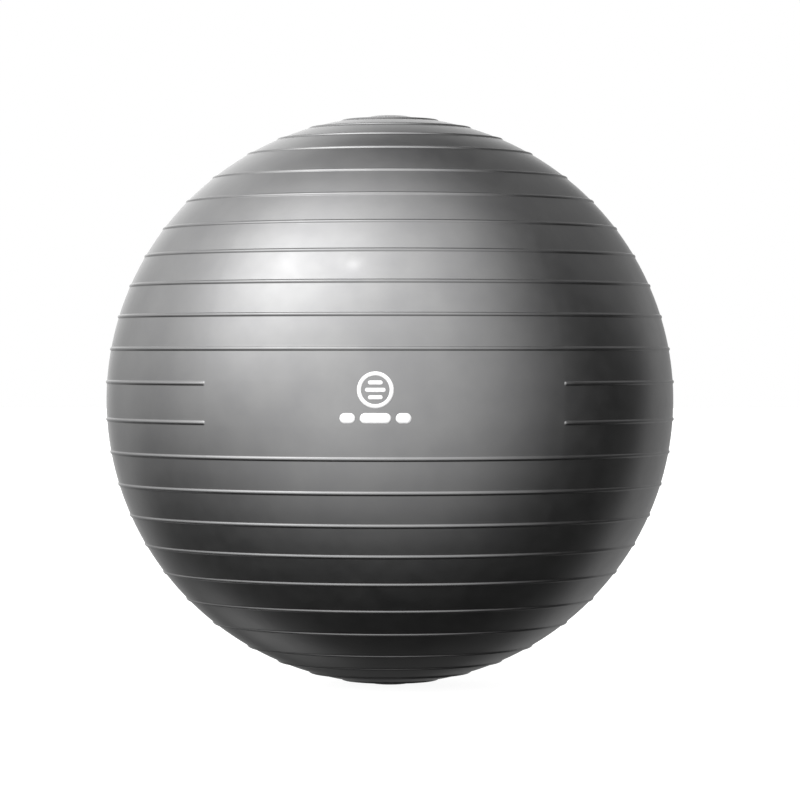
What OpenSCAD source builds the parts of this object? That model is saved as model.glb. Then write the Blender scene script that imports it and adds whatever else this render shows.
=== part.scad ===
// Inflated exercise ball: a moulded skin with grip ribs, a bonded valve seat, a push-in plug
// and a printed mark. Millimetres. The origin is the ball's centre, +Z is the axis that the
// ribs run round, the print faces -Y and the valve faces +Y.

/* [Ball] */
// Radius of the smooth surface between the ribs
ball_r = 325; // [275:5:375]
// Thickness of the moulded skin
skin_t = 0.8; // [0.6:0.1:1.5]
// Radius of the flat in the middle of the raised pad at each pole
pole_flat_r = 16; // [12:0.5:18]
// Radius at which the pad runs out into the surface
pole_pad_r = 27; // [24:0.5:32]
// Height of the flat above the surface at the pole
pole_pad_h = 1.2; // [0.8:0.1:2]

/* [Grip ribs] */
// Height of a rib above the surface
rib_h = 1.3; // [0.8:0.1:2]
// Width of a rib where it meets the surface
rib_w = 4.4; // [3:0.1:5]
// Latitude of the pair of ribs that the windows interrupt, in degrees
first_lat = 3.75; // [3:0.25:5]
// Ribs on each side of the equator that are evenly spaced from the first one on
belly_ribs = 6; // [4:1:6]
// Angle between two of those ribs, in degrees
belly_pitch = 6.67; // [6:0.01:6.7]
// Ribs that follow them towards the pole
shoulder_ribs = 2; // [1:1:2]
// Angle between two of those ribs, in degrees
shoulder_pitch = 7.2; // [6.5:0.1:7.5]
// Latitude of the first rib of the cap, in degrees
cap_lat = 60; // [59:0.5:62]
// Ribs on each cap, short of the pad at the pole
cap_ribs = 4; // [3:1:4]
// Angle between two ribs of the cap, in degrees
cap_pitch = 6.8; // [6.2:0.1:7]
// Half the angle of the smooth window in front and of its twin behind, in degrees
window_half = 37; // [25:0.5:45]

/* [Valve seat] */
// Radius of the collar that fills the hole in the skin
collar_r = 13; // [12.8:0.1:16]
// Radius of the flange that is bonded under the skin
flange_r = 22; // [20:0.5:28]
// Thickness of the flange
flange_t = 1.6; // [1.2:0.1:2.5]
// Radius of the sleeve inside the ball
sleeve_r = 9.5; // [8:0.5:12]
// Depth of the whole seat below the surface
seat_depth = 14; // [12:0.5:18]
// Radius of the bore that grips the stem
bore_r = 5; // [4:0.25:6]
// Radius of the recess that holds the head
recess_r = 9.3; // [9:0.1:10]
// Depth of the recess
recess_d = 2.4; // [2:0.1:3]
// Depth of the collar below the floor of the recess
collar_d = 5; // [4:0.5:6]
// Radius of the finger notch at the edge of the recess
notch_r = 3; // [2:0.25:3.25]

/* [Valve plug] */
// Gap between the edge of the head and the recess
head_gap = 0.4; // [0.3:0.1:0.6]
// Gap between the stem and the bore
stem_gap = 0.05; // [0.03:0.01:0.08]
// Gap under the head, and the depth of its top below the surface
face_gap = 0.1; // [0.05:0.05:0.2]
// Length of the stem below the recess
stem_len = 15; // [14:0.5:18]
// Number of sealing rings on the stem
ring_count = 3; // [2:1:3]
// Depth of the grooves between the rings
groove_d = 0.6; // [0.3:0.1:0.8]
// Radius of the hollow in the stem
core_r = 2.4; // [1.5:0.1:2.6]

/* [Print] */
// Thickness of the film of ink
ink_t = 0.3; // [0.2:0.05:0.5]
// Diameter of the round emblem
emblem_d = 39; // [30:1:45]
// Width of the line that the emblem is drawn with
emblem_line = 4.4; // [3:0.2:5]
// Width of the row of bars under the emblem
bars_w = 76; // [60:1:90]
// Height of the row of bars
bars_h = 11; // [6:0.5:14]
// Shift of the print to the left of the window's middle
print_shift = 8; // [0:1:12]
// Height of the print's middle above the equator
print_rise = 7; // [0:1:12]

/* [Hidden] */

skin_color = [0.36, 0.36, 0.37];
plug_color = [0.86, 0.86, 0.84];
ink_color = [0.93, 0.93, 0.93];

fine = 180;
small = 32;

// A rib is a bead: a circle that is sunk until it stands rib_h proud and is rib_w wide.
rib_r = (rib_w * rib_w / 4 + rib_h * rib_h) / (2 * rib_h);
rib_centre = ball_r + rib_h - rib_r;
rib_end_r = 1.03 * rib_r;
shoulder_lat = first_lat + (belly_ribs - 1) * belly_pitch;
full_lats = concat(
    [for (i = [1 : belly_ribs - 1]) first_lat + i * belly_pitch],
    [for (i = [1 : shoulder_ribs]) shoulder_lat + i * shoulder_pitch],
    [for (i = [0 : cap_ribs - 1]) cap_lat + i * cap_pitch]
);
pole_top = ball_r + pole_pad_h;
pole_drop = pole_top - sqrt(ball_r * ball_r - pole_pad_r * pole_pad_r);
pole_slope_w = pole_pad_r - pole_flat_r;
pole_shoulder_r = (pole_slope_w * pole_slope_w + pole_drop * pole_drop) / (2 * pole_drop);

inner_r = ball_r - skin_t;
recess_floor = ball_r - recess_d;
overrun = 5;

head_r = recess_r - head_gap;
stem_r = bore_r - stem_gap;
groove_r = stem_r - groove_d;
head_floor = recess_floor + face_gap;
stem_end = recess_floor - stem_len;
neck_len = 3;
ring_pitch = (stem_len - neck_len) / (ring_count + 1);
ring_len = ring_pitch / 2;
core_roof = 3;

bar_gap = 5;
side_bar_w = (bars_w - 2 * bar_gap) / 4;
middle_bar_w = bars_w - 2 * (side_bar_w + bar_gap);
print_gap = 5;
print_h = emblem_d + print_gap + bars_h;

// Puts a 2-D shape at a latitude, at a distance from the ball's centre
module at_latitude(lat, distance) {
    translate([distance * cos(lat), distance * sin(lat)])
        children();
}

// Half-section of a pole's pad, on the side that the sign of side says: a flat with a round shoulder
module pole_pad_section(side) {
    mirror([0, side < 0 ? 1 : 0]) {
        translate([0, ball_r - overrun])
            square([pole_flat_r, overrun + pole_pad_h]);
        translate([pole_flat_r, pole_top - pole_shoulder_r])
            circle(r = pole_shoulder_r, $fn = fine);
    }
}

// Half-section of everything on the ball's surface that goes all the way round
module outer_section() {
    intersection() {
        union() {
            circle(r = ball_r, $fn = fine);
            for (lat = full_lats, side = [-1, 1])
                at_latitude(side * lat, rib_centre)
                    circle(r = rib_r, $fn = small);
            for (side = [-1, 1])
                pole_pad_section(side);
        }
        translate([0, -2 * ball_r])
            square([2 * ball_r, 4 * ball_r]);
    }
}

// The two stretches of a rib between the front and the rear window, with round ends
module interrupted_rib(lat) {
    reach = 90 - window_half;
    for (turn = [0, 180])
        rotate([0, 0, turn]) {
            rotate_extrude(angle = 2 * reach, start = -reach, $fn = fine)
                at_latitude(lat, rib_centre)
                    circle(r = rib_r, $fn = small);
            for (end = [-reach, reach])
                rotate([0, 0, end])
                    translate([rib_centre * cos(lat), 0, rib_centre * sin(lat)])
                        sphere(r = rib_end_r, $fn = small);
        }
}

// Turns a shape that stands along +Z so that it points out of the valve, along +Y
module on_valve_axis() {
    rotate([-90, 0, 0])
        children();
}

module ball_shell() {
    color(skin_color)
        difference() {
            union() {
                rotate_extrude($fn = fine)
                    outer_section();
                for (side = [-1, 1])
                    interrupted_rib(side * first_lat);
            }
            sphere(r = inner_r, $fn = fine);
            on_valve_axis()
                translate([0, 0, inner_r - overrun])
                    cylinder(r = collar_r, h = 2 * overrun + skin_t, $fn = fine);
        }
}

// Half-section of the seat, standing along +Y in its own plane
module seat_section() {
    difference() {
        union() {
            intersection() {
                circle(r = ball_r, $fn = fine);
                translate([0, recess_floor - collar_d])
                    square([collar_r, collar_d + recess_d + overrun]);
            }
            intersection() {
                difference() {
                    circle(r = inner_r, $fn = fine);
                    circle(r = inner_r - flange_t, $fn = fine);
                }
                square([flange_r, 2 * ball_r]);
            }
            translate([0, ball_r - seat_depth])
                square([sleeve_r, seat_depth - recess_d]);
        }
        translate([0, recess_floor])
            square([recess_r, recess_d + overrun]);
        square([bore_r, 2 * ball_r]);
    }
}

module valve_seat() {
    color(skin_color)
        on_valve_axis()
            difference() {
                rotate_extrude($fn = fine)
                    seat_section();
                translate([0, recess_r, recess_floor])
                    cylinder(r = notch_r, h = recess_d + overrun, $fn = small);
            }
}

// Half-section of the plug: a head, a stem with rings, and a hollow from its inner end
module plug_section() {
    difference() {
        union() {
            intersection() {
                circle(r = ball_r - face_gap, $fn = fine);
                translate([0, head_floor])
                    square([head_r, 2 * recess_d]);
            }
            translate([0, stem_end])
                square([groove_r, stem_len + recess_d / 2]);
            translate([0, recess_floor - neck_len])
                square([stem_r, neck_len + recess_d / 2]);
            for (i = [1 : ring_count])
                translate([0, recess_floor - neck_len - i * ring_pitch])
                    square([stem_r, ring_len]);
        }
        square([core_r, recess_floor - core_roof]);
    }
}

module valve_plug() {
    color(plug_color)
        on_valve_axis()
            rotate_extrude($fn = fine)
                plug_section();
}

// A bar with round ends, centred on the origin
module bar(w, h) {
    square([w - h, h], center = true);
    for (side = [-1, 1])
        translate([side * (w - h) / 2, 0])
            circle(d = h, $fn = small);
}

// A ring round three level bars, like a ball with its ribs
module emblem() {
    difference() {
        circle(d = emblem_d, $fn = fine);
        circle(d = emblem_d - 2 * emblem_line, $fn = fine);
    }
    row = emblem_d / 5;
    for (i = [-1 : 1])
        translate([0, i * row])
            bar(emblem_d * (i == 0 ? 0.56 : 0.4), emblem_line);
}

// The whole flat print: the emblem, and a row of three bars under it
module print_outline() {
    translate([0, (print_h - emblem_d) / 2])
        emblem();
    translate([0, (bars_h - print_h) / 2]) {
        bar(middle_bar_w, bars_h);
        for (side = [-1, 1])
            translate([side * (bars_w - side_bar_w) / 2, 0])
                bar(side_bar_w, bars_h);
    }
}

module printed_mark() {
    color(ink_color)
        intersection() {
            difference() {
                sphere(r = ball_r + ink_t, $fn = fine);
                sphere(r = ball_r, $fn = fine);
            }
            translate([-print_shift, 0, print_rise])
                rotate([90, 0, 0])
                    linear_extrude(height = 2 * ball_r)
                        print_outline();
        }
}

ball_shell();
valve_seat();
valve_plug();
printed_mark();
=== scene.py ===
"""Looks of the inflated exercise ball: its ribbed skin, valve seat, valve plug and printed mark.

Metres, in the CAD frame: the origin is the ball's centre, +Z is the axis that the ribs run round, the
print faces -Y and the valve faces +Y. Latitudes and azimuths are in degrees.
"""

import math

import bmesh
import bpy
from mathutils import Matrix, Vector


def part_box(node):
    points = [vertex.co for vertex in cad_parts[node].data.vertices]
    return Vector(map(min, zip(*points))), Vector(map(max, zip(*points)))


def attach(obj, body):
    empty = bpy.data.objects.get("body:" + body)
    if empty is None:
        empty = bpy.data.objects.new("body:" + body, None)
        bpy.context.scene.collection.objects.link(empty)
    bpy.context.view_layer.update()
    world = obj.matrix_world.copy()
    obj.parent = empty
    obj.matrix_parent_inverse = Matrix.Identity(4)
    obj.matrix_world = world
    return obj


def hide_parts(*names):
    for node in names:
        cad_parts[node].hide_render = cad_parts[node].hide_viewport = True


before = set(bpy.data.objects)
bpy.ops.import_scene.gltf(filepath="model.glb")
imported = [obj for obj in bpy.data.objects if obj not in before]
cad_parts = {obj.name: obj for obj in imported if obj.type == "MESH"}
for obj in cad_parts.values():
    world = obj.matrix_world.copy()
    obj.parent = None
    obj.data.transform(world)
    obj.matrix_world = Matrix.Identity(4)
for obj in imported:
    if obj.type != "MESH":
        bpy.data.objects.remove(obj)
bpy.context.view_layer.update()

# ---- Sizes ------------------------------------------------------------------------------------

POLE_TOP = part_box("ball_shell")[1].z
POLE_PAD_H = 0.0012
POLE_FLAT_R = 0.016
POLE_PAD_R = 0.027
POLE_FILLET = 0.025  # radius of the hollow at the foot of a pole's pad
BALL_R = POLE_TOP - POLE_PAD_H
SKIN_T = 0.0008
INNER_R = BALL_R - SKIN_T

RIB_H = 0.0013
RIB_W = 0.0044
RIB_R = (RIB_W ** 2 / 4 + RIB_H ** 2) / (2 * RIB_H)
RIB_FILLET = 0.0009  # radius of the hollow at the foot of a rib
RIB_GUARD = 0.0006  # distance from that foot to a row of points that keeps the surface beside it flat
FIRST_LAT = 3.75
BELLY_RIBS = 6
BELLY_PITCH = 6.67
SHOULDER_LAT = FIRST_LAT + (BELLY_RIBS - 1) * BELLY_PITCH
SHOULDER_RIBS = 2
SHOULDER_PITCH = 7.2
CAP_LAT = 60
CAP_RIBS = 4
CAP_PITCH = 6.8
WINDOW_HALF = 37
RIB_REACH = 90 - WINDOW_HALF  # how far the interrupted ribs run to each side of the +X and the -X axis

COLLAR_R = 0.013
FLANGE_R = 0.022
FLANGE_T = 0.0016
SLEEVE_R = 0.0095
BORE_R = 0.005
RECESS_R = 0.0093
RECESS_D = 0.0024
NOTCH_R = 0.003
SEAT_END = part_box("valve_seat")[0].y
RECESS_FLOOR = BALL_R - RECESS_D
HEAD_GAP = 0.0004
FACE_GAP = 0.0001
STEM_GAP = 0.00005
GROOVE_D = 0.0006

PLUG_END, PLUG_TOP = (corner.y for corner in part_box("valve_plug"))
HEAD_R = RECESS_R - HEAD_GAP
HEAD_FLOOR = RECESS_FLOOR + FACE_GAP
STEM_R = BORE_R - STEM_GAP
GROOVE_R = STEM_R - GROOVE_D
CORE_R = 0.0024
CORE_ROOF = 0.003
NECK_LEN = 0.003
SEAL_RINGS = 3

INK_T = 0.0002
INK_SUNK = 0.0001  # how far the film reaches under the skin's surface, so that no gap shows
EMBLEM_D = 0.039
EMBLEM_LINE = 0.0044
BARS_W = 0.076
BARS_H = 0.011
BAR_GAP = 0.005
PRINT_GAP = 0.005
PRINT_X = -0.008
PRINT_Z = 0.007

# ---- Mesh building ----------------------------------------------------------------------------

SAME_POINT = 1e-6


class Surface:
    """The points and faces of one mesh, put together out of rings of points."""

    def __init__(self):
        self.points = []
        self.faces = []

    def ring(self, points):
        """Adds points and returns their numbers."""
        first = len(self.points)
        self.points.extend(points)
        return list(range(first, len(self.points)))

    def bridge(self, low, high, skip=()):
        """Joins two closed rings of as many points with quads, except at the places in skip."""
        for i in range(len(low)):
            if i not in skip:
                j = (i + 1) % len(low)
                self.faces.append((low[i], low[j], high[j], high[i]))

    def fan(self, ring, tip):
        """Closes a ring with triangles that meet at a new point."""
        centre = self.ring([tip])[0]
        for i in range(len(ring)):
            self.faces.append((ring[i], ring[(i + 1) % len(ring)], centre))

    def loft(self, rings, cyclic=False):
        """Adds rings of points and joins each to the next one, and the last to the first if cyclic."""
        numbered = [self.ring(points) for points in rings]
        for low, high in zip(numbered, numbered[1:]):
            self.bridge(low, high)
        if cyclic:
            self.bridge(numbered[-1], numbered[0])
        return numbered

    def build(self, name, material):
        """Makes the object without unused or doubled points; every face looks outward and is smooth."""
        mesh = bpy.data.meshes.new(name)
        mesh.from_pydata(self.points, [], self.faces)
        shape = bmesh.new()
        shape.from_mesh(mesh)
        unused = [point for point in shape.verts if not point.link_faces]
        bmesh.ops.delete(shape, geom=unused, context="VERTS")
        bmesh.ops.remove_doubles(shape, verts=shape.verts, dist=SAME_POINT)
        bmesh.ops.recalc_face_normals(shape, faces=shape.faces)
        shape.to_mesh(mesh)
        shape.free()
        mesh.shade_smooth()
        mesh.materials.append(material)
        piece = bpy.data.objects.new(name, mesh)
        bpy.context.scene.collection.objects.link(piece)
        return piece


def fill(marks, step):
    """The marks in order, with evenly spaced values between those that are over a step apart."""
    marks = sorted({round(mark, 6) for mark in marks})
    filled = marks[:1]
    for low, high in zip(marks, marks[1:]):
        parts = math.ceil((high - low) / step)
        filled += [low + (high - low) * i / parts for i in range(1, parts + 1)]
    return filled


def along(profile, distance):
    """Height of a profile of (distance, height) pairs at a distance, and 0 past its end."""
    for (near, height), (far, next_height) in zip(profile, profile[1:]):
        if distance <= far:
            return height + (next_height - height) * (distance - near) / (far - near)
    return 0.0


# ---- Skin -------------------------------------------------------------------------------------


def bead_profile():
    """(distance, height) over half of a rib's section: a sunken bead, and the fillet at its foot."""
    level = RIB_FILLET + RIB_R - RIB_H
    foot = math.sqrt((RIB_R + RIB_FILLET) ** 2 - level ** 2)
    steepest = math.atan2(foot, level)
    profile = []
    for turn in (0, steepest / 3, steepest * 2 / 3, steepest):
        profile.append((RIB_R * math.sin(turn), RIB_H - RIB_R * (1 - math.cos(turn))))
    for turn in (steepest * 2 / 3, steepest / 3, 0):
        profile.append((foot - RIB_FILLET * math.sin(turn), RIB_FILLET * (1 - math.cos(turn))))
    return profile


BEAD = bead_profile()
RIB_OFFSETS = [distance for distance, height in BEAD] + [BEAD[-1][0] + RIB_GUARD]

FULL_LATS = (
    [FIRST_LAT + i * BELLY_PITCH for i in range(1, BELLY_RIBS)]
    + [SHOULDER_LAT + i * SHOULDER_PITCH for i in range(1, SHOULDER_RIBS + 1)]
    + [CAP_LAT + i * CAP_PITCH for i in range(CAP_RIBS)]
)
VALVE_AZIMUTH = 90
PATCH_HALF = FIRST_LAT - math.degrees(RIB_OFFSETS[-1] / BALL_R)
PATCH_PARTS = 16
PATCH_MARKS = [PATCH_HALF * (2 * i / PATCH_PARTS - 1) for i in range(PATCH_PARTS + 1)]
OUTER_STEP = 2.25  # widest spacing of the points on the outside of the skin, in degrees
INNER_STEP = 7.5  # the same on its inside
INNER_LAT = 84  # latitude of the last row of points inside, before the fan at the pole
SAME_ANGLE = 1e-4
HOLE_EDGE = 0.00035  # size of the rounded edge on each side of the seam between the skin and the seat


def pole_profile():
    """(angle from the pole, height) along the pad: its flat, round shoulder and the hollow at its foot."""
    drop = POLE_TOP - math.sqrt(BALL_R ** 2 - POLE_PAD_R ** 2)
    slope_w = POLE_PAD_R - POLE_FLAT_R
    shoulder_r = (slope_w ** 2 + drop ** 2) / (2 * drop)
    shoulder = Vector((POLE_FLAT_R, POLE_TOP - shoulder_r))
    far = BALL_R + POLE_FILLET
    apart = shoulder_r + POLE_FILLET
    along_line = (shoulder.length_squared + far ** 2 - apart ** 2) / (2 * shoulder.length)
    line = shoulder.normalized()
    hollow = line * along_line + Vector((line.y, -line.x)) * math.sqrt(far ** 2 - along_line ** 2)
    steepest = math.atan2(hollow.x - shoulder.x, hollow.y - shoulder.y)
    foot_slope = math.atan2(hollow.x, hollow.y)

    outline = [Vector((POLE_FLAT_R * share, POLE_TOP)) for share in (0, 0.4, 0.75)]
    for share in (0, 0.25, 0.5, 0.75, 1):
        turn = steepest * share
        outline.append(shoulder + shoulder_r * Vector((math.sin(turn), math.cos(turn))))
    for share in (0.33, 0.67, 1):
        turn = steepest + (foot_slope - steepest) * share
        outline.append(hollow - POLE_FILLET * Vector((math.sin(turn), math.cos(turn))))
    return [(math.degrees(math.atan2(point.x, point.y)), point.length - BALL_R) for point in outline]


POLE = pole_profile()


def rib_latitudes(middle):
    """Latitudes of the rows of points that a rib's section needs."""
    turns = [math.degrees(offset / BALL_R) for offset in RIB_OFFSETS]
    return [middle + side * turn for turn in turns for side in (-1, 1)]


def skin_latitudes():
    """Latitudes of all the rows of points on the outside of the skin."""
    marks = list(PATCH_MARKS)
    for lat in [FIRST_LAT] + FULL_LATS:
        marks += rib_latitudes(lat)
        marks += rib_latitudes(-lat)
    for turn, height in POLE[1:]:
        marks += [90 - turn, turn - 90]
    return fill(marks, OUTER_STEP)


def skin_azimuths(step, rib_ends):
    """Azimuths of the columns of points: finer at the valve and, if asked for, at the ribs' ends."""
    marks = [VALVE_AZIMUTH + mark for mark in PATCH_MARKS]
    ends = RIB_OFFSETS if rib_ends else [0]
    for offset in ends:
        turn = RIB_REACH + math.degrees(offset / BALL_R)
        marks += [turn, -turn, 180 - turn, turn - 180]
    start = min(marks)
    return fill(marks + [start + 360], step)[:-1]


def full_height(lat):
    """Height of the skin's outside where nothing interrupts it: the whole ribs and the pole pads."""
    nearest = min(abs(abs(lat) - rib) for rib in FULL_LATS)
    bead = along(BEAD, BALL_R * math.radians(nearest))
    return max(bead, along(POLE, 90 - abs(lat)))


def cut_height(lat, azimuth):
    """Height of the two ribs that the windows interrupt, with their round ends."""
    across = BALL_R * math.radians(abs(abs(lat) - FIRST_LAT))
    if across > BEAD[-1][0]:
        return 0.0
    from_side = abs((azimuth + 90) % 180 - 90)
    past_end = BALL_R * math.radians(max(0, from_side - RIB_REACH))
    return along(BEAD, math.hypot(across, past_end))


def on_ball(lat, azimuth, radius):
    """The point at a latitude, an azimuth and a distance from the ball's centre."""
    lat = math.radians(lat)
    azimuth = math.radians(azimuth)
    level = radius * math.cos(lat)
    return (level * math.cos(azimuth), level * math.sin(azimuth), radius * math.sin(lat))


def ball_side(surface, lats, azimuths, radius, tip_radius):
    """One side of the skin as rows of quads. Returns the points round the square gap at the valve."""
    rows = [surface.ring([on_ball(lat, az, radius(lat, az)) for az in azimuths]) for lat in lats]
    reach = PATCH_HALF + SAME_ANGLE
    columns = [i for i, az in enumerate(azimuths) if abs(az - VALVE_AZIMUTH) < reach]
    levels = [i for i, lat in enumerate(lats) if abs(lat) < reach]
    for i, (low, high) in enumerate(zip(rows, rows[1:])):
        inside = i in levels[:-1]
        surface.bridge(low, high, skip=columns[:-1] if inside else ())
    surface.fan(rows[0], (0, 0, -tip_radius))
    surface.fan(rows[-1], (0, 0, tip_radius))
    left, right = columns[0], columns[-1]
    bottom, top = levels[0], levels[-1]
    loop = [rows[bottom][i] for i in range(left, right)]
    loop += [rows[i][right] for i in range(bottom, top)]
    loop += [rows[top][i] for i in range(right, left, -1)]
    loop += [rows[i][left] for i in range(top, bottom, -1)]
    return loop


def lift(x, z, radius, side=1):
    """The point over (x, z) on a sphere round the ball's centre, on the +Y or the -Y side."""
    return (x, side * math.sqrt(radius ** 2 - x ** 2 - z ** 2), z)


def square_to_round(surface, loop, radius, hole_r):
    """Rings of points that turn the square loop into a circle round the valve."""
    corners = [surface.points[i] for i in loop]
    circle = [hole_r / math.hypot(x, z) for x, y, z in corners]
    rings = [loop]
    for share in (0.3, 0.6, 0.85, 1.0):
        points = []
        for (x, y, z), scale in zip(corners, circle):
            factor = 1 + (scale - 1) * share
            points.append(lift(x * factor, z * factor, radius))
        rings.append(surface.ring(points))
        surface.bridge(rings[-2], rings[-1])
    return rings[-1]


def lowered(surface, ring, rho, drop):
    """A ring moved to another radius round the valve and a drop below the ball's surface."""
    points = []
    for i in ring:
        x, y, z = surface.points[i]
        scale = rho / math.hypot(x, z)
        points.append((x * scale, math.sqrt(BALL_R ** 2 - rho ** 2) - drop, z * scale))
    lower = surface.ring(points)
    surface.bridge(ring, lower)
    return lower


def make_skin(material):
    """The moulded skin: outside with its ribs, inside, and the round hole for the valve seat."""
    surface = Surface()
    lats = skin_latitudes()
    heights = {lat: full_height(lat) for lat in lats}

    def outside(lat, azimuth):
        return BALL_R + max(heights[lat], cut_height(lat, azimuth))

    outer_azimuths = skin_azimuths(OUTER_STEP, rib_ends=True)
    outer_loop = ball_side(surface, lats, outer_azimuths, outside, POLE_TOP)
    rim = square_to_round(surface, outer_loop, BALL_R, COLLAR_R + HOLE_EDGE)
    rim = lowered(surface, rim, COLLAR_R + 0.3 * HOLE_EDGE, 0.2 * HOLE_EDGE)
    rim = lowered(surface, rim, COLLAR_R, HOLE_EDGE)

    inner_lats = fill(PATCH_MARKS + [-INNER_LAT, INNER_LAT], INNER_STEP)
    inner_azimuths = skin_azimuths(INNER_STEP, rib_ends=False)
    inner_loop = ball_side(surface, inner_lats, inner_azimuths, lambda lat, az: INNER_R, INNER_R)
    inner_rim = square_to_round(surface, inner_loop, INNER_R, COLLAR_R)
    surface.bridge(rim, inner_rim)
    return surface.build("skin", material)


# ---- Valve seat and plug ----------------------------------------------------------------------

VALVE_PARTS = 192
EDGE = 0.0002


def surface_y(rho, radius=BALL_R):
    """Level of a sphere round the ball's centre, at a distance from the valve's axis."""
    return math.sqrt(radius ** 2 - rho ** 2)


def notch_reach(turn):
    """How far the finger notch below the recess reaches past the recess at an angle round it."""
    across = RECESS_R * math.cos(turn)
    along_notch = -RECESS_R * math.sin(turn)
    if along_notch <= 0 or abs(across) >= NOTCH_R:
        return 0.0
    far_side = along_notch + math.sqrt(NOTCH_R ** 2 - across ** 2)
    return max(0.0, far_side - RECESS_R)


def valve_ring(rho, level, notched=False):
    """A ring round the valve's axis. Its level is a number, or a function of the radius."""
    points = []
    for i in range(VALVE_PARTS):
        turn = 2 * math.pi * i / VALVE_PARTS
        radius = rho + (notch_reach(turn) if notched else 0.0)
        y = level(radius) if callable(level) else level
        points.append((radius * math.cos(turn), y, radius * math.sin(turn)))
    return points


def make_seat(material):
    """The bonded insert: collar, recess with its finger notch, bore, sleeve and flange."""

    def under(rho):
        return surface_y(rho, INNER_R)

    def flange_under(rho):
        return surface_y(rho, INNER_R - FLANGE_T)

    rings = [
        valve_ring(COLLAR_R, surface_y(COLLAR_R) - HOLE_EDGE),
        valve_ring(COLLAR_R - 0.4 * EDGE, lambda r: surface_y(r) - 0.3 * EDGE),
        valve_ring(COLLAR_R - 1.5 * EDGE, surface_y),
        valve_ring(RECESS_R + EDGE, surface_y, notched=True),
        valve_ring(RECESS_R + 0.3 * EDGE, lambda r: surface_y(r) - 0.3 * EDGE, notched=True),
        valve_ring(RECESS_R, lambda r: surface_y(r) - EDGE, notched=True),
        valve_ring(RECESS_R, RECESS_FLOOR + EDGE, notched=True),
        valve_ring(RECESS_R - 0.3 * EDGE, RECESS_FLOOR + 0.3 * EDGE, notched=True),
        valve_ring(RECESS_R - EDGE, RECESS_FLOOR, notched=True),
        valve_ring(BORE_R + 2 * EDGE, RECESS_FLOOR),
        valve_ring(BORE_R + 0.5 * EDGE, RECESS_FLOOR - 0.5 * EDGE),
        valve_ring(BORE_R, RECESS_FLOOR - 2 * EDGE),
        valve_ring(BORE_R, SEAT_END + 2 * EDGE),
        valve_ring(BORE_R + 0.5 * EDGE, SEAT_END + 0.5 * EDGE),
        valve_ring(BORE_R + 2 * EDGE, SEAT_END),
        valve_ring(SLEEVE_R - 2 * EDGE, SEAT_END),
        valve_ring(SLEEVE_R - 0.5 * EDGE, SEAT_END + 0.5 * EDGE),
        valve_ring(SLEEVE_R, SEAT_END + 2 * EDGE),
        valve_ring(SLEEVE_R, lambda r: flange_under(r) - 2 * EDGE),
        valve_ring(SLEEVE_R + 0.5 * EDGE, lambda r: flange_under(r) - 0.5 * EDGE),
        valve_ring(SLEEVE_R + 2 * EDGE, flange_under),
        valve_ring(FLANGE_R - 2 * EDGE, flange_under),
        valve_ring(FLANGE_R, lambda r: flange_under(r) + 2 * EDGE),
        valve_ring(FLANGE_R, lambda r: under(r) - 2 * EDGE),
        valve_ring(FLANGE_R - 2 * EDGE, under),
        valve_ring(COLLAR_R, under),
    ]
    surface = Surface()
    surface.loft(rings, cyclic=True)
    return surface.build("seat", material)


def make_plug(material):
    """The stopper: a domed head with a moulding dimple, a stem with round sealing rings, a hollow."""
    dimple_r = 0.0016
    dimple_d = 0.00025
    outline = [(dimple_r * share, PLUG_TOP - dimple_d * (1 - share ** 3)) for share in (0.4, 0.75, 0.95)]
    outline += [(rho, surface_y(rho, PLUG_TOP)) for rho in (1.25 * dimple_r, 0.4 * HEAD_R, 0.7 * HEAD_R)]
    rim_edge = 3 * EDGE
    rim_r = HEAD_R - rim_edge
    for turn in map(math.radians, (0, 30, 60, 90)):
        level = surface_y(rim_r, PLUG_TOP) - rim_edge * (1 - math.cos(turn))
        outline.append((rim_r + rim_edge * math.sin(turn), level))
    outline += [(HEAD_R, HEAD_FLOOR + EDGE), (HEAD_R - EDGE, HEAD_FLOOR)]
    neck_floor = RECESS_FLOOR - NECK_LEN
    outline += [(STEM_R + EDGE, HEAD_FLOOR), (STEM_R, HEAD_FLOOR - 2 * EDGE), (STEM_R, neck_floor + EDGE)]
    pitch = (neck_floor - PLUG_END) / (SEAL_RINGS + 1)
    bulge = STEM_R - GROOVE_R
    outline.append((GROOVE_R, neck_floor - EDGE))
    for i in range(1, SEAL_RINGS + 1):
        middle = neck_floor - i * pitch + pitch / 4
        for turn in map(math.radians, (-80, -50, -25, 0, 25, 50, 80)):
            rho = GROOVE_R + bulge * math.cos(turn)
            outline.append((rho, middle - math.sin(turn) * pitch / 4))
        outline.append((GROOVE_R, middle - pitch / 2 + EDGE))
    core_roof = RECESS_FLOOR - CORE_ROOF
    outline += [(GROOVE_R, PLUG_END + 2 * EDGE), (GROOVE_R - 2 * EDGE, PLUG_END)]
    outline += [(CORE_R + EDGE, PLUG_END), (CORE_R, PLUG_END + EDGE)]
    outline += [(CORE_R, core_roof - CORE_R / 2), (0.7 * CORE_R, core_roof - CORE_R / 8)]
    surface = Surface()
    rings = surface.loft([valve_ring(rho, level) for rho, level in outline])
    surface.fan(rings[0], (0, PLUG_TOP - dimple_d, 0))
    surface.fan(rings[-1], (0, core_roof, 0))
    return surface.build("plug", material)


# ---- Printed mark -----------------------------------------------------------------------------

INK_STEP = 0.0012


def pressed(outline, height):
    """A flat outline, moved to the print's place and pressed onto the front of the ball."""
    return [lift(PRINT_X + x, PRINT_Z + z, BALL_R + height, side=-1) for x, z in outline]


def film(surface, outlines, hollow):
    """A closed film of ink over nested outlines, from the outer one to the inner one."""
    below = [pressed(outline, -INK_SUNK) for outline in reversed(outlines)]
    above = [pressed(outline, INK_T) for outline in outlines]
    surface.loft(below + above, cyclic=hollow)


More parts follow.
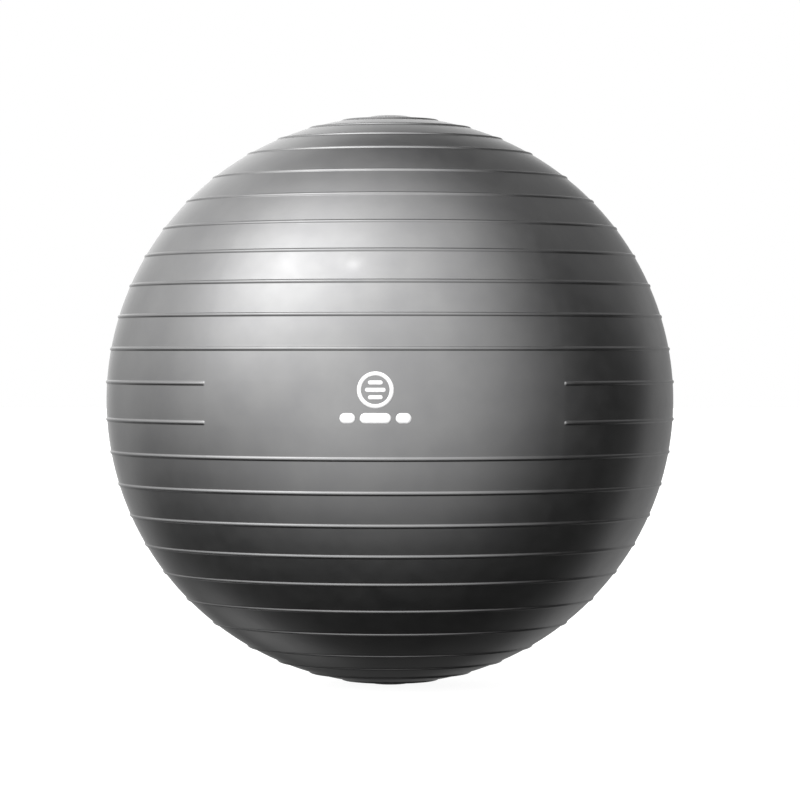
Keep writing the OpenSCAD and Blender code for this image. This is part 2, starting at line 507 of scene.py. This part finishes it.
def bar_outlines(centre_x, centre_z, width, height):
    """Outlines of a bar with round ends, nested down to the line through its middle."""
    straight = (width - height) / 2
    spans = 2 * max(4, round(straight / INK_STEP))
    arcs = 24
    upper = [(straight * (1 - 2 * i / spans), height / 2) for i in range(spans)]
    left = [math.pi * (0.5 + i / arcs) for i in range(arcs)]
    upper += [(-straight + height / 2 * math.cos(a), height / 2 * math.sin(a)) for a in left]
    outline = upper + [(-x, -z) for x, z in upper]
    nested = []
    for share in (1, 0.7, 0.35, 0):
        ring = []
        for x, z in outline:
            middle = max(-straight, min(straight, x))
            ring.append((centre_x + middle + share * (x - middle), centre_z + share * z))
        nested.append(ring)
    return nested


def ring_outlines(centre_z, outer_r, inner_r):
    """Circles from the outside to the inside of a flat ring."""
    parts = 144
    turns = [2 * math.pi * i / parts for i in range(parts)]
    radii = [outer_r + (inner_r - outer_r) * share for share in (0, 0.33, 0.67, 1)]
    return [[(r * math.cos(a), centre_z + r * math.sin(a)) for a in turns] for r in radii]


def make_print(material):
    """The white print: a ring round three level bars, and a row of three bars under it."""
    total_h = EMBLEM_D + PRINT_GAP + BARS_H
    emblem_z = (total_h - EMBLEM_D) / 2
    row_z = (BARS_H - total_h) / 2
    side_w = (BARS_W - 2 * BAR_GAP) / 4
    middle_w = BARS_W - 2 * (side_w + BAR_GAP)
    surface = Surface()
    film(surface, ring_outlines(emblem_z, EMBLEM_D / 2, EMBLEM_D / 2 - EMBLEM_LINE), hollow=True)
    for i in (-1, 0, 1):
        width = EMBLEM_D * (0.56 if i == 0 else 0.4)
        film(surface, bar_outlines(0, emblem_z + i * EMBLEM_D / 5, width, EMBLEM_LINE), hollow=False)
    film(surface, bar_outlines(0, row_z, middle_w, BARS_H), hollow=False)
    for side in (-1, 1):
        centre_x = side * (BARS_W - side_w) / 2
        film(surface, bar_outlines(centre_x, row_z, side_w, BARS_H), hollow=False)
    return surface.build("printed_film", material)


# ---- Materials --------------------------------------------------------------------------------


class Shader:
    """A material with one Principled shader, and short ways to add nodes to it."""

    def __init__(self, name, **values):
        self.material = bpy.data.materials.new(name)
        self.material.use_nodes = True
        self.tree = self.material.node_tree
        self.principled = self.tree.nodes["Principled BSDF"]
        for socket, value in values.items():
            self.principled.inputs[socket.replace("_", " ")].default_value = value

    def node(self, kind, links=(), **settings):
        """Adds a node; links are (input, output socket) pairs, and settings are inputs or properties."""
        made = self.tree.nodes.new(kind)
        for key, value in settings.items():
            if hasattr(made, key):
                setattr(made, key, value)
            else:
                made.inputs[key.replace("_", " ")].default_value = value
        for key, output in links:
            self.tree.links.new(output, made.inputs[key])
        return made

    def noise(self, scale, detail, roughness=0.5):
        """Noise in the ball's own coordinates; its scale is in cells per metre."""
        place = self.node("ShaderNodeTexCoord").outputs["Object"]
        made = self.node("ShaderNodeTexNoise", [("Vector", place)], Scale=scale, Detail=detail)
        made.inputs["Roughness"].default_value = roughness
        return made.outputs["Fac"]

    def spread(self, factor, low, high):
        """Maps the middle of a 0 to 1 factor to the range from low to high."""
        links = [("Value", factor)]
        made = self.node("ShaderNodeMapRange", links, From_Min=0.3, From_Max=0.7, To_Min=low, To_Max=high)
        return made.outputs["Result"]

    def use(self, socket, output):
        """Links an output to one of the shader's inputs."""
        self.tree.links.new(output, self.principled.inputs[socket])

    def bump(self, height, strength, distance, under=None):
        """Adds a bump over the one before it, and returns its normal."""
        links = [("Height", height)]
        if under is not None:
            links.append(("Normal", under))
        made = self.node("ShaderNodeBump", links, Strength=strength, Distance=distance)
        return made.outputs["Normal"]


def tinted(shader, factor, dark, light):
    """A colour between two greys, picked by a factor."""
    ramp = shader.node("ShaderNodeValToRGB", [("Fac", factor)])
    ramp.color_ramp.elements[0].position = 0.3
    ramp.color_ramp.elements[0].color = dark
    ramp.color_ramp.elements[1].position = 0.7
    ramp.color_ramp.elements[1].color = light
    return ramp.outputs["Color"]


def soft_pvc(name, grey, roughness):
    """Pearl grey PVC: a fine moulded grain, a faint mottle, and gloss that varies a little.

    The grey specular tint keeps the outline from mirroring the lights behind the ball at full strength.
    """
    shader = Shader(name, Metallic=0.98, Coat_Weight=0.4, Coat_Roughness=0.15, IOR=1.5)
    shader.principled.inputs["Specular Tint"].default_value = (0.5, 0.5, 0.5, 1)
    mottle = shader.noise(scale=26, detail=3)
    dark = (grey * 0.95, grey * 0.95, grey * 0.96, 1)
    light = (grey * 1.05, grey * 1.05, grey * 1.05, 1)
    shader.use("Base Color", tinted(shader, mottle, dark, light))
    gloss = shader.noise(scale=60, detail=4)
    shader.use("Roughness", shader.spread(gloss, roughness - 0.02, roughness + 0.02))
    grain = shader.bump(shader.noise(scale=1400, detail=2), 0.25, 0.00004)
    pores = shader.bump(shader.noise(scale=300, detail=3), 0.15, 0.0001, under=grain)
    shader.use("Normal", pores)
    return shader.material


def moulded_plastic(name):
    """Off-white low-gloss plastic of the plug, faintly cloudy."""
    shader = Shader(name, IOR=1.5, Subsurface_Weight=0.05)
    cloud = shader.noise(scale=180, detail=3)
    shader.use("Base Color", tinted(shader, cloud, (0.70, 0.70, 0.67, 1), (0.78, 0.78, 0.75, 1)))
    shader.use("Roughness", shader.spread(shader.noise(scale=500, detail=3), 0.32, 0.42))
    shader.use("Normal", shader.bump(shader.noise(scale=2200, detail=2), 0.3, 0.00004))
    return shader.material


def screen_ink(name):
    """White ink, a little uneven in its cover and duller than the skin."""
    shader = Shader(name, IOR=1.45)
    cover = shader.noise(scale=220, detail=4)
    shader.use("Base Color", tinted(shader, cover, (0.80, 0.80, 0.80, 1), (0.88, 0.88, 0.88, 1)))
    shader.use("Roughness", shader.spread(shader.noise(scale=400, detail=3), 0.42, 0.52))
    shader.use("Normal", shader.bump(shader.noise(scale=1600, detail=2), 0.2, 0.00004))
    return shader.material


# ---- Studio -----------------------------------------------------------------------------------

CAMERA_DISTANCE = 3.965
CAMERA_AZIMUTH = 1.3
CAMERA_ELEVATION = 0.77
CAMERA_LENS = 155.1
CAMERA_SHIFT = 0.0126
FLOOR_REACH = 20
FLOOR_GLOW = 0.92
SOFTBOX_DISTANCE = 2.4


def away(azimuth, elevation, distance):
    """A place round the ball: azimuth 0 is in front, on the -Y side, and 90 is on the +X side."""
    azimuth = math.radians(azimuth)
    elevation = math.radians(elevation)
    level = math.cos(elevation)
    direction = Vector((math.sin(azimuth) * level, -math.cos(azimuth) * level, math.sin(elevation)))
    return direction * distance


def aim(thing, place):
    """Puts a camera or a light at a place, turned to the ball's centre."""
    thing.location = place
    thing.rotation_euler = (-place).to_track_quat("-Z", "Y").to_euler()


def make_camera():
    """The camera, at the photo's viewing angle."""
    camera = bpy.data.objects.new("camera", bpy.data.cameras.new("camera"))
    camera.data.lens = CAMERA_LENS
    camera.data.shift_x = CAMERA_SHIFT
    bpy.context.scene.collection.objects.link(camera)
    aim(camera, away(CAMERA_AZIMUTH, CAMERA_ELEVATION, CAMERA_DISTANCE))
    bpy.context.scene.camera = camera


def softbox(name, azimuth, elevation, width, height, power):
    """A rectangular light that looks at the ball and doesn't show itself."""
    light = bpy.data.objects.new(name, bpy.data.lights.new(name, "AREA"))
    light.data.shape = "RECTANGLE"
    light.data.size = width
    light.data.size_y = height
    light.data.energy = power
    light.visible_camera = False
    bpy.context.scene.collection.objects.link(light)
    aim(light, away(azimuth, elevation, SOFTBOX_DISTANCE))


def make_lights():
    """Two small lights that give the two bright spots on the upper left of the ball."""
    softbox("window", azimuth=-53.5, elevation=48.5, width=0.30, height=0.30, power=1.5)
    softbox("spot", azimuth=-18.5, elevation=51.5, width=0.12, height=0.10, power=1.3)


def make_floor():
    """A pale floor that shows to the camera and takes the ball's shadow, but lights nothing."""
    shader = Shader("pale_floor", Base_Color=(0.3, 0.3, 0.3, 1), Roughness=0.8)
    shader.principled.inputs["Emission Color"].default_value = (1, 1, 1, 1)
    shader.principled.inputs["Emission Strength"].default_value = FLOOR_GLOW
    surface = Surface()
    parts = 96
    turns = [2 * math.pi * i / parts for i in range(parts)]
    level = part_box("ball_shell")[0].z
    rim = surface.ring([(FLOOR_REACH * math.cos(a), FLOOR_REACH * math.sin(a), level) for a in turns])
    surface.fan(rim, (0, 0, level))
    floor = surface.build("floor", shader.material)
    floor.visible_diffuse = False
    floor.visible_glossy = False
    floor.visible_shadow = False


# The studio's round soft lights: azimuth, elevation, angular radius at half its brightness, width of the
# fade on each side of that radius, all in degrees, and brightness.
SOFT_LIGHTS = [
    (-60, 45, 20, 25, 3.4),  # the key light: the bright patch on the upper left
    (-95, 35, 40, 30, 1.2),  # carries it on to the left edge
    (-45, 0, 35, 25, 0.8),  # the left of the belly
    (0, 65, 30, 25, 1.6),  # from above: the upper half
    (5, 10, 45, 35, 1.4),  # from the camera's side: the middle
    (180, -5, 55, 10, 0.1),  # the dim wall behind the ball, which all its edges mirror
    (-170, 20, 20, 15, 1.2),  # the brighter upper part of that wall
    (-150, 15, 35, 10, 0.55),  # behind on the left: the band along the left edge
    (-150, -40, 10, 10, 0.6),  # behind on the left, low: the streak on the lower left
    (150, -10, 25, 10, 0.5),  # behind on the right: the band along the right edge
    (135, 30, 25, 10, 0.3),  # the same, higher: the upper end of that band
]


def make_world():
    """White to the camera. To the ball it is a dark studio with the soft lights, which fade outwards."""
    world = bpy.data.worlds.new("studio")
    world.use_nodes = True
    tree = world.node_tree

    def math_node(operation, *values):
        made = tree.nodes.new("ShaderNodeMath")
        made.operation = operation
        for socket, given in zip(made.inputs, values):
            if isinstance(given, (int, float)):
                socket.default_value = given
            else:
                tree.links.new(given, socket)
        return made.outputs["Value"]

    direction = tree.nodes.new("ShaderNodeTexCoord").outputs["Generated"]
    total = 0.0
    for azimuth, elevation, radius, fade, brightness in SOFT_LIGHTS:
        towards = tree.nodes.new("ShaderNodeVectorMath")
        towards.operation = "DOT_PRODUCT"
        towards.inputs[1].default_value = away(azimuth, elevation, 1)
        tree.links.new(direction, towards.inputs[0])
        angle = math_node("ARCCOSINE", towards.outputs["Value"])
        disc = tree.nodes.new("ShaderNodeMapRange")
        disc.interpolation_type = "SMOOTHSTEP"
        disc.inputs["From Min"].default_value = math.radians(radius - fade)
        disc.inputs["From Max"].default_value = math.radians(radius + fade)
        disc.inputs["To Min"].default_value = brightness
        disc.inputs["To Max"].default_value = 0
        tree.links.new(angle, disc.inputs["Value"])
        total = math_node("ADD", total, disc.outputs["Result"])

    lit = tree.nodes.new("ShaderNodeBackground")
    tree.links.new(total, lit.inputs["Strength"])
    seen = tree.nodes["Background"]
    for background in (lit, seen):
        background.inputs["Color"].default_value = (1, 1, 1, 1)
    ray = tree.nodes.new("ShaderNodeLightPath")
    mix = tree.nodes.new("ShaderNodeMixShader")
    tree.links.new(ray.outputs["Is Camera Ray"], mix.inputs["Fac"])
    tree.links.new(lit.outputs["Background"], mix.inputs[1])
    tree.links.new(seen.outputs["Background"], mix.inputs[2])
    tree.links.new(mix.outputs["Shader"], tree.nodes["World Output"].inputs["Surface"])
    bpy.context.scene.world = world


# ---- The scene --------------------------------------------------------------------------------

make_camera()
make_lights()
make_floor()
make_world()
bpy.context.scene.view_settings.view_transform = "Standard"

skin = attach(make_skin(soft_pvc("skin_pvc", 0.23, 0.40)), "ball")
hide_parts("ball_shell")

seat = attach(make_seat(soft_pvc("seat_pvc", 0.21, 0.38)), "ball")
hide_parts("valve_seat")

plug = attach(make_plug(moulded_plastic("plug_plastic")), "plug")
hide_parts("valve_plug")

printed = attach(make_print(screen_ink("white_ink")), "ball")
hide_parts("printed_mark")
